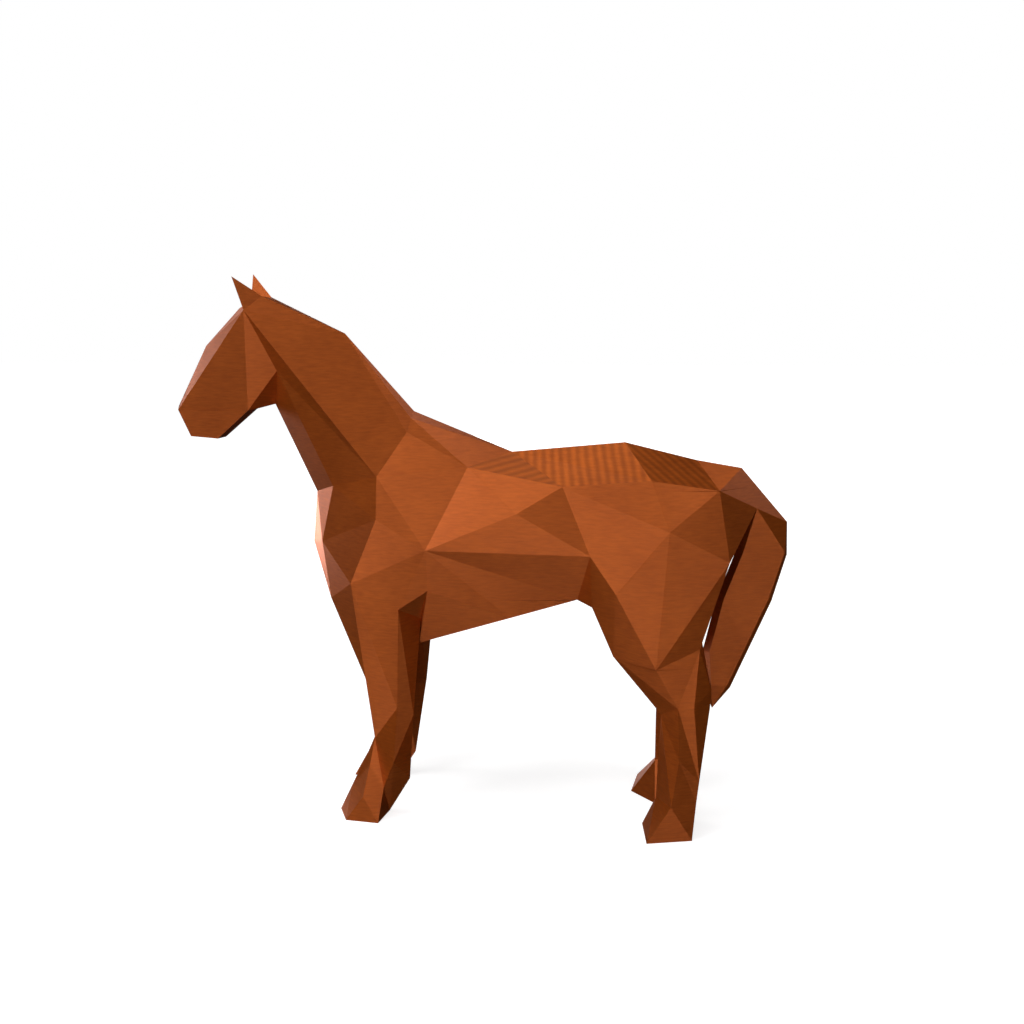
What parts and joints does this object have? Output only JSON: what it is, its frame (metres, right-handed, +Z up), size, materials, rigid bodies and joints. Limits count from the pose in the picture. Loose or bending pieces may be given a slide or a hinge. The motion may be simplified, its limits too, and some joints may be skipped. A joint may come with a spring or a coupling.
{
  "type": "horse figurine",
  "caption": "Low-poly standing horse figurine with flat triangular facets, printed in one piece of brown plastic, head carried high and tail hanging free.",
  "frame": {"origin": "on the ground under the middle of the figure's bounding box", "axes": "+X from head to tail, +Y to the horse's right, +Z up"},
  "size_m": [0.2286, 0.0604, 0.2018],
  "materials": {
    "brown plastic": "satin layered print"
  },
  "bodies": {
    "root": {"horse": "brown plastic"}
  },
  "joints": []
}
